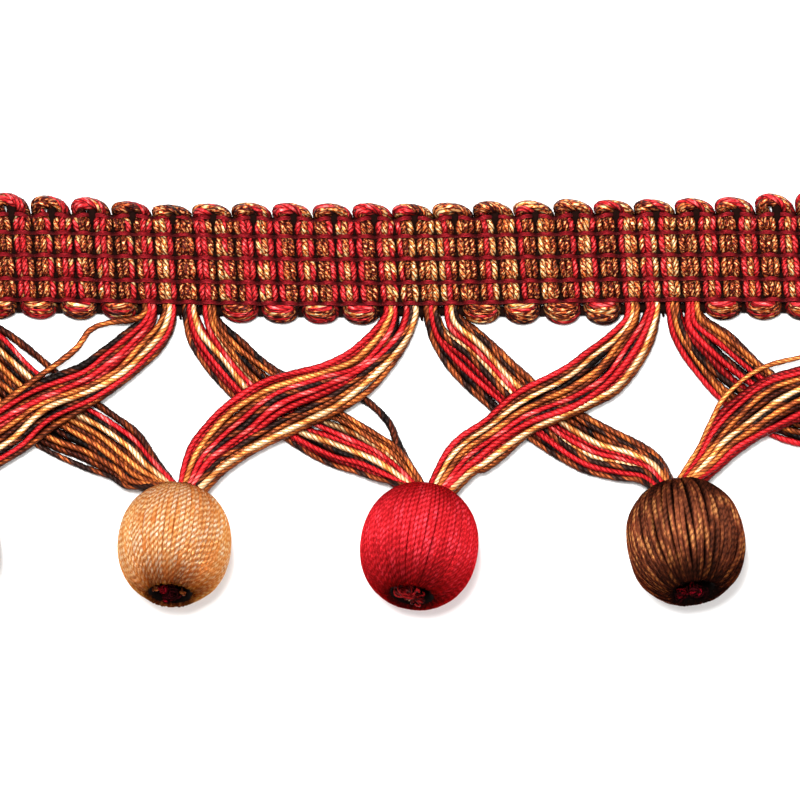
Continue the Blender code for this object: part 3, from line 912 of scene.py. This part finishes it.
# painted shade: rimShade is the painted light at a hole's rim, from rimFrom on, and coreDeep the colour
# painted as shade between the core's strands
winding = {
    "crevice": 0.45, "roughness": 0.26, "coreRoughness": 0.8, "coreDeep": "#0a0403",
    "partingWidth": 14,       # degrees
    "stagger": 0.12,          # mm that every other thread lies higher near the holes
    "endThick": 0.60, "thickness": (0.99, 1.05), "rimFrom": 0.8, "rimShade": 0.08,
    "rings": 44, "proud": 0.05, "alongAxis": 0.55,
}
wrapFinishes, coreFinishes = {}, {}
for kind, wrap in wraps.items():
    crown = wrap["mix"][2][1]
    wrapFinishes[kind] = rayonYarn(
        "wound_" + kind, crown, wrap["deep"], crevice=winding["crevice"], roughness=winding["roughness"],
        beads=wrap["beads"], moulinee=wrap["mix"], flecks=wrap["flecks"], tint=crown,
        shaded=wrap.get("shaded"),
    )
    setShader(wrapFinishes[kind], {"Specular IOR Level": 0.0, "Metallic": wrap["metallic"]})
    coreFinishes[kind] = rayonYarn(
        "woundCore_" + kind, wrap["core"], winding["coreDeep"], roughness=winding["coreRoughness"],
    )
    setShader(coreFinishes[kind], {"Specular IOR Level": 0.0})
wrapColours = {kind: (kind,) for kind in wraps}


# the wound core under the wraps: a globe cut off at both rims, with each opening drawn in to a recess.
# Its dark colour is painted shade between the threads, and the recess in each hole is painted black as shade
core = {
    "segments": 40, "rings": 24, "inset": 0.40, "cutAt": 8.5, "recess": [(0.80, -0.6), (0.94, -3.4)],
    "paintedLight": 0.6,
}


def ballCore(name, kind, frameMatrix):
    wide, half = ball["radius"] - core["inset"], ball["halfLength"] - core["inset"]
    bpy.ops.object.select_all(action="DESELECT")
    bpy.ops.mesh.primitive_uv_sphere_add(
        segments=core["segments"], ring_count=core["rings"], radius=1.0,
        rotation=(math.pi / 2, 0, 0), scale=(wide, wide, half),
    )
    piece = bpy.context.object
    piece.name = name
    bpy.ops.object.transform_apply(location=False, rotation=True, scale=True)
    bpy.ops.object.mode_set(mode="EDIT")
    for end in (1, -1):
        middle = Vector((0, end * core["cutAt"], 0))
        bpy.ops.mesh.select_all(action="SELECT")
        bpy.ops.mesh.bisect(plane_co=middle, plane_no=(0, end, 0), clear_outer=True)
        for shrink, inward in core["recess"]:
            bpy.ops.mesh.extrude_edges_move()
            bpy.ops.transform.resize(value=(shrink, 1, shrink), center_override=middle)
            bpy.ops.transform.translate(value=(0, end * inward, 0))
        bpy.ops.mesh.edge_face_add()
    bpy.ops.mesh.select_all(action="SELECT")
    bpy.ops.mesh.normals_make_consistent(inside=False)
    bpy.ops.object.mode_set(mode="OBJECT")
    mesh = piece.data
    mesh.uv_layers[0].name = "yarn"
    layer = mesh.attributes.new("paintedLight", "FLOAT", "POINT")
    # painted shade: black in the holes, dimmer elsewhere
    for at, vertex in enumerate(mesh.vertices):
        inHole = math.hypot(vertex.co.x, vertex.co.z) < ball["mouth"]
        layer.data[at].value = 0.0 if inHole else core["paintedLight"]
    mesh.shade_smooth()
    mesh.materials.append(coreFinishes[kind])
    piece.matrix_world = Matrix.Scale(mm, 4) @ frameMatrix
    bpy.ops.object.transform_apply(location=True, rotation=True, scale=True)
    return piece


# threads run from hole to hole over the core and turn in over the rims
def wrapBall(at):
    kind = ballPlaces[at][0]
    wrap = wraps[kind]
    chance = random.Random(ball["seed"] + at)
    frameMatrix = ballFrames[at]
    corePiece = ballCore("ball_core_%d" % (at + 1), kind, frameMatrix)
    outlineAxial, outlineRadius = ballOutline(winding["rings"], wrap["thick"] / 2 - winding["proud"])
    outlineAxial, outlineRadius = outlineAxial * wrap["size"], outlineRadius * wrap["size"]
    middle = np.array(frameMatrix.translation)
    axis = np.array(frameMatrix.to_3x3() @ Vector((0, 1, 0)))
    threads = []
    for thread in range(wrap["count"]):
        deep = chance.uniform(*ball["turnIn"])
        wall = ball["mouth"] - chance.uniform(*ball["inside"])
        near = [(deep, wall)] + [(lip, wall + out) for lip, out in ball["lips"]]
        axial = np.concatenate([[a for a, _ in near], outlineAxial, [-a for a, _ in near[::-1]]])
        radius = np.concatenate([[r for _, r in near], outlineRadius, [r for _, r in near[::-1]]])
        line = evenSteps(smoothLine(np.column_stack([axial, radius]), 3), ball["step"])
        axial, radius = line[:, 0], line[:, 1]
        share = np.linspace(0.0, 1.0, len(axial))
        fatness = np.clip(radius / ball["radius"], 0.0, 1.0)
        base = 2 * math.pi * (thread + chance.uniform(-1, 1) * wrap["jitter"]) / wrap["count"]
        if "parting" in wrap:
            partingAt, partingShare = wrap["parting"]
            apart = (math.degrees(base) - partingAt + 180) % 360 - 180
            pushed = math.copysign(partingShare, apart) * math.exp(-abs(apart) / winding["partingWidth"])
            base += pushed * 2 * math.pi / wrap["count"]
        sway = chance.uniform(-wrap["sway"], wrap["sway"])
        drift = math.radians(wrap["spiral"]) * (share - 0.5)
        drift = drift + sway * np.sin(math.pi * share * chance.uniform(1, 3))
        lift = chance.uniform(-wrap["uneven"], wrap["uneven"])
        lift = lift + (thread % 2) * winding["stagger"] * (1 - fatness)
        r = radius + lift * np.sin(math.pi * share) ** 0.5
        turn = base + drift
        points = inFrame(frameMatrix, np.column_stack([r * np.cos(turn), axial, r * np.sin(turn)]))
        thick = wrap["thick"] * between((winding["endThick"], 1.0), fatness)
        thick = thick * chance.uniform(*winding["thickness"])
        points[:, 2] = np.maximum(points[:, 2], thick / 2)
        # painted shade near the holes and towards the ball's ends
        fromEnd = np.minimum(share, 1 - share) * len(share) * ball["step"]
        rim = np.clip((fromEnd - winding["rimFrom"]) / wrap["rimFade"], 0.0, 1.0)
        shade = between((winding["rimShade"], 1.0), rim ** 0.8)
        shade = shade * (1 - wrap["endShade"] * (1 - fatness ** wrap["reach"]))
        threads.append({
            "points": points, "thick": thick, "colour": kind, "start": chance.uniform(0, 60), "open": shade,
        })

    def awayFromAxis(points):
        reach = points - middle
        out = reach - winding["alongAxis"] * np.outer(reach @ axis, axis)
        return out / np.linalg.norm(out, axis=1)[:, None]

    piece = layYarns(
        "ball_wraps_%d" % (at + 1), threads, "round", wrapColours, wrapFinishes, awayFromAxis, wrap["flank"],
    )
    for part in (piece, corePiece):
        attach(part, "root")
        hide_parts("ball_%d" % (at + 1))


for at in range(5):
    wrapBall(at)
print("balls are wrapped")


# tufts: the tie in each lower hole, knotted and cut short
# to the side, up and along the axis, radius, two colours, painted light
tieKnots = {
    "gold": [
        (-1.2, 0.3, 8.0, 0.9, ("tie", "maroon"), 0.7), (0.0, -0.9, 8.0, 1.6, ("maroon", "maroon"), 0.9),
        (-0.3, -2.2, 8.5, 0.8, ("tie", "maroon"), 0.8), (1.9, -0.7, 8.0, 0.5, ("gold", "tan"), 0.7),
        (-2.3, 0.0, 7.8, 0.7, ("gold", "tan"), 0.6),
    ],
    "red": [
        (-1.2, 0.1, 7.9, 1.6, ("crimson", "rose"), 0.8), (0.7, 0.9, 8.2, 0.5, ("rose", "crimson"), 0.8),
        (-0.3, -0.9, 9.0, 0.25, ("cream", "cream"), 1.0), (1.2, -2.0, 8.1, 1.2, ("burgundy", "crimson"), 0.7),
    ],
    "brown": [
        (-2.0, -1.5, 8.2, 1.1, ("tie", "maroon"), 0.6), (0.1, -0.6, 8.2, 1.2, ("tie", "maroon"), 0.9),
        (1.7, -2.2, 8.3, 0.8, ("maroon", "maroon"), 0.4),
    ],
}
# shade, stalkShade and each knot's painted light are painted shade on the tie; the stalk into the ball is
# darkest
tuft = {
    "turns": 17, "thick": 0.37, "plyPitch": 2.2, "size": (0.5, 1.05), "flat": 0.7, "stray": 0.4,
    "arcs": (1.6, 4.0), "step": 0.35, "shade": (0.5, 1.0), "lowest": 0.3,
    "stalk": 5.0, "stalkNear": 0.6, "stalkShade": 0.3, "seed": 70,
}
for at in range(5):
    chance = random.Random(tuft["seed"] + at)
    strands = []
    for sideways, upward, axial, radius, colours, shade in tieKnots[ballPlaces[at][0]]:
        heart = Vector((sideways, -axial, upward))
        thick = min(tuft["thick"], radius)
        # the yarn wound on itself
        for turn in range(max(3, round(tuft["turns"] * radius))):
            pitched = Matrix.Rotation(chance.uniform(0, fullTurn), 3, "X")
            spin = pitched @ Matrix.Rotation(chance.uniform(0, fullTurn), 3, "Z")
            size = (radius - thick / 2) * chance.uniform(*tuft["size"]) + 0.02
            stray = Vector([chance.uniform(-tuft["stray"], tuft["stray"]) * radius for _ in range(3)])
            arc = []
            for a in np.arange(0, chance.uniform(*tuft["arcs"]), tuft["step"]):
                spot = Vector((size * math.cos(a), tuft["flat"] * size * math.sin(a), 0))
                arc.append(heart + stray + spin @ spot)
            strands.append({
                "points": inFrame(ballFrames[at], np.array(arc)), "thick": thick,
                "colour": chance.choice(colours), "pitch": tuft["plyPitch"], "phase": chance.uniform(0, 6),
                "open": shade * chance.uniform(*tuft["shade"]),
            })
        # and down into the ball
        near = tuft["stalkNear"]
        stalk = np.linspace((sideways * near, -tuft["stalk"], upward * near), heart, 6)
        strands.append({
            "points": inFrame(ballFrames[at], stalk), "thick": thick, "colour": colours[0],
            "pitch": tuft["plyPitch"], "open": tuft["stalkShade"],
        })
    for strand in strands:
        strand["points"][:, 2] = np.maximum(strand["points"][:, 2], tuft["lowest"])
    piece = layYarns("tuft_threads_%d" % (at + 1), strands, "fine")
    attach(piece, "root")
    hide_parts("tuft_%d" % (at + 1))
print("tufts are set")


# skeins
# out from the root's middle, y, width between the outer yarns, height of the underside
skeinRoutes = {
    "front": [
        (3.1, -8.2, 4.6, 0.4), (3.75, -10.7, 5.1, 0.6), (5.6, -13.9, 5.6, 1.1), (9.2, -17.7, 6.3, 1.7),
        (14.3, -20.1, 7.2, 2.25), (21.6, -22.6, 8.0, 2.25), (27.0, -25.8, 8.0, 2.25), (30.8, -28.6, 7.4, 2.3),
        (33.4, -31.3, 6.1, 2.5),
    ],
    "back": [
        (3.1, -8.2, 4.8, 0.4), (4.0, -11.2, 5.8, 0.1), (7.2, -15.2, 6.8, 0.0), (12.0, -20.1, 7.0, 0.0),
        (18.4, -24.6, 7.4, 0.0), (24.8, -27.8, 7.2, 0.0), (29.4, -30.4, 6.3, 1.0), (32.4, -32.5, 5.3, 2.0),
    ],
    "end": [
        (3.1, -8.2, 4.8, 0.4), (3.7, -13.0, 5.4, 0.1), (4.3, -19.0, 5.8, 0.0),
        (4.7, -25.0, 5.8, 0.3), (4.6, -29.5, 5.4, 1.3), (4.2, -32.6, 4.9, 2.1),
    ],
}
# how each skein strays across its route, and how much wider it is, at the last three of these shares of it
nudgedAt = (0.1, 0.35, 0.7, 1)
nudges = {
    ("left", 1): ((-1.6, 0.3, -0.1), (0.0, 0.0, 0.0)),
    ("left", 2): ((-0.6, 0.3, 0.6), (0.4, 0.1, -0.1)),
    ("left", 3): ((-0.2, 2.1, 2.1), (0.8, -1.8, -1.0)),
    ("left", 4): ((-1.2, -0.8, -0.4), (0.8, -1.0, -1.8)),
    ("right", 0): ((0.4, -0.1, -0.7), (1.2, 2.9, 0.8)),
    ("right", 1): ((-0.1, 0.1, 0.9), (0.7, 0.7, 0.8)),
    ("right", 2): ((0.75, -2.2, -0.4), (0.8, 0.2, -0.9)),
    ("right", 3): ((0.4, 1.4, 0.3), (1.4, -0.5, 0.0)),
}
# single yarns that stand out from their skein, by station
strayYarns = {
    ("right", 0): {"rank": 11, "bulge": {1: 0.05, 2: 0.25, 3: 0.35, 4: 0.15}},
    ("right", 1): {"rank": 11, "bulge": {4: 0.15, 5: 0.7, 6: 0.6, 7: -0.1}},
    ("left", 1): {"rank": 0, "bulge": {1: -0.3, 2: -0.9, 3: -1.0, 4: -0.45}},
    ("left", 4): {"rank": 0, "bulge": {3: -0.1, 4: -0.35, 5: -0.4, 6: -0.25}},
}
# along the ball's axis, to the side, half width and half height of the skein where it enters
gatherSections = [(9.5, 1.75, 2.1, 1.5), (8.0, 1.5, 1.45, 1.8), (5.0, 1.5, 1.35, 1.9)]
skein = {
    "step": 0.45, "plyPitch": 5.6, "head": [(-6.3, 0.2), (-6.9, 0.0), (-7.5, 0.05)],
    "wander": 0.14, "alone": 0.045, "lift": 0.12, "strayDrop": 0.1,
    # heights over the underside, of the lower yarns and what the upper ones and the middle add
    "level": 0.52, "rise": 0.50, "crown": 0.35, "lowest": 0.5, "tier": 0.9, "margin": 0.5,
    "upper": 0.94, "lower": 1.12, "thickness": (0.84, 1.10), "uneven": 0.07, "lumps": (1.9, 0.83),
    # painted shade: lower yarns are dim, and every yarn is darker in waves along its length, as if it dipped
    # under others now and then
    "dimLower": (0.25, 0.8), "wavingShade": 0.28, "shadeWaves": 2.7,
    # by station, how much the yarns still lie as two columns' bundles
    "bundled": [(0, 1.0), (1, 0.45), (2, 0.12), (3, 0.0)],
    # painted shade: dark, dim yarns in the middle, that darken the gaps between the others; the yarn that
    # each sets out with, and its place across
    "shadeYarns": [(2, -0.62), (5, -0.2), (6, 0.2), (9, 0.62)], "shadeYarnLight": 0.25, "seed": 100,
}


def bowAt(x, y):
    return layFlat([(x + heading["lean"] * (y - heading["rootEdge"]), y, 0.0)])[0][1] - y


# side is the way it goes, -1 or 1, and hand is the side on which it enters the ball
def laySkein(name, node, root, ballAt, side, hand, routeName):
    stations = skeinRoutes[routeName]
    chance = random.Random(skein["seed"] + root * 7 + side)
    key = ("left" if side < 0 else "right", root)
    shifts, widenings = nudges.get(key, ((0, 0, 0), (0, 0, 0)))
    stray = strayYarns.get(key)
    firstColumn = root * heading["perRepeat"] + (4 if side < 0 else 6)
    members = []
    for column in (firstColumn, firstColumn + 1):
        for member in rootYarns[column]:
            members.append((column, member["side"], member["layer"], member))
    members.sort(key=lambda m: (m[0], m[1], -m[2]))
    shiftX = ballPlaces[ballAt][1]
    reach = stations[-1][0]
    middles = []
    for out, y, spread, base in stations:
        x = rootsX[root] + side * out + shiftX * (out - stations[0][0]) / (reach - stations[0][0])
        middles.append(np.array([x, y + bowAt(x, y), base]))
    frames = []
    for axial, sideways, _, _ in gatherSections:
        frames.append(ballFrames[ballAt] @ Matrix.Translation((hand * sideways, axial, 0.0)))
    goal = np.array(frames[0].translation)
    yarns = []
    drift = chance.uniform(0, fullTurn)
    count = len(members)
    runs = [(rank, -1.0 + 2.0 * rank / (count - 1), False) for rank in range(count)]
    for rank, lane, isShadeYarn in runs + [(rank, lane, True) for rank, lane in skein["shadeYarns"]]:
        column, slotSide, layer, member = members[rank]
        upper = layer > 0 and not isShadeYarn
        slotX = columnX(column) + slotSide * heading["slot"] * heading["pinch"]
        slotZ = heading["frontLow"] if upper else heading["backLow"]
        controls = [tuple(p) for p in layFlat([(slotX, y, slotZ + up) for y, up in skein["head"]])]
        waves = [chance.uniform(0, fullTurn) for _ in range(3)]
        for at, (middle, (out, y, spread, base)) in enumerate(zip(middles, stations)):
            ahead = middles[at + 1] if at + 1 < len(middles) else goal
            behind = middles[at - 1] if at else middle + np.array([0, 1.0, 0])
            travel = (ahead - behind)[:2]
            travel = travel / np.linalg.norm(travel)
            if at == 0:
                travel = np.array([0.0, -1.0])
            across = np.array([-travel[1], travel[0], 0.0])
            down = at / (len(stations) - 1)
            spread += np.interp(down, nudgedAt, (0,) + widenings)
            middle = middle + across * np.interp(down, nudgedAt, (0,) + shifts)
            free = math.sin(math.pi * min((at + 0.3) / (len(stations) - 0.5), 1.0))
            # yarns wander side by side, and each a little alone, in waves with no common length
            sway = skein["wander"] * free * math.sin(at * 1.1 + lane * 2.6 + drift)
            sway += skein["alone"] * free * (math.sin(at * 1.3 + waves[0]) + math.sin(at * 2.3 + waves[1]))
            # the two columns' bundles lie apart at first
            slotLane = (slotX - rootsX[root] - side * heading["pitch"]) / (spread / 2)
            place = lane + (slotLane - lane) * np.interp(at, *zip(*skein["bundled"])) + sway
            lift = skein["lift"] * free * math.sin(at * 1.7 + waves[2])
            if stray and rank == stray["rank"] and at in stray["bulge"] and not isShadeYarn:
                place += stray["bulge"][at]
                lift -= skein["strayDrop"]
            z = base + skein["level"] + lift
            z += (skein["rise"] if upper else 0.0) + skein["crown"] * (1 - lane ** 2) * (not isShadeYarn)
            point = middle + across * (place * spread / 2)
            if at == 0:
                point[0] = 0.5 * point[0] + 0.5 * layFlat([(slotX, y, 0.0)])[0][0]
                z = 0.5 * z + 0.5 * slotZ
            controls.append((point[0], point[1], max(z, skein["lowest"])))
        tier = skein["tier"] if upper else -skein["tier"]
        for (_, _, halfWidth, halfHeight), matrix in zip(gatherSections, frames):
            spot = Vector((lane * (halfWidth - skein["margin"]), 0.0, tier * (halfHeight - skein["margin"])))
            controls.append(tuple(matrix @ spot))
        points = evenSteps(smoothLine(controls), skein["step"])
        thick = member["thick"] * skein["upper" if upper else "lower"] * chance.uniform(*skein["thickness"])
        along = lengthAlong(points)
        long, short = skein["lumps"]
        lumps = np.sin(along / long + waves[0]) + 0.6 * np.sin(along / short + waves[1])
        thick = thick * (1 + skein["uneven"] * lumps)
        points[:, 2] = np.maximum(points[:, 2], thick / 2)
        # painted shade: lower yarns dimmer, every yarn darker in waves, and the dark middle yarns dimmest
        shade = 1.0 if upper else chance.uniform(*skein["dimLower"])
        shade = shade * (1 - skein["wavingShade"] * (0.5 + 0.5 * np.sin(along / skein["shadeWaves"] + waves[2])))
        colour = skeinColours[key][rank] if key in skeinColours else member["colour"]
        if isShadeYarn:
            colour, shade = "dark", skein["shadeYarnLight"]
        yarns.append({
            "points": points, "thick": thick, "colour": colour, "pitch": skein["plyPitch"],
            "phase": chance.uniform(0, fullTurn), "open": shade,
        })
    piece = layYarns(name, yarns, "threePly")
    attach(piece, "root")
    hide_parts(node)


for root in range(5):
    number = "_%d" % (root + 1)
    if root > 0:
        laySkein("skein_yarns_left" + number, "skein_left" + number, root, root - 1, -1, 1, "front")
    else:
        laySkein("skein_yarns_end_left", "skein_end_left", root, root, -1, -1, "end")
    if root < 4:
        laySkein("skein_yarns_right" + number, "skein_right" + number, root, root + 1, 1, -1, "back")
    else:
        laySkein("skein_yarns_end_right", "skein_end_right", root, root, 1, 1, "end")
print("skeins are laid")
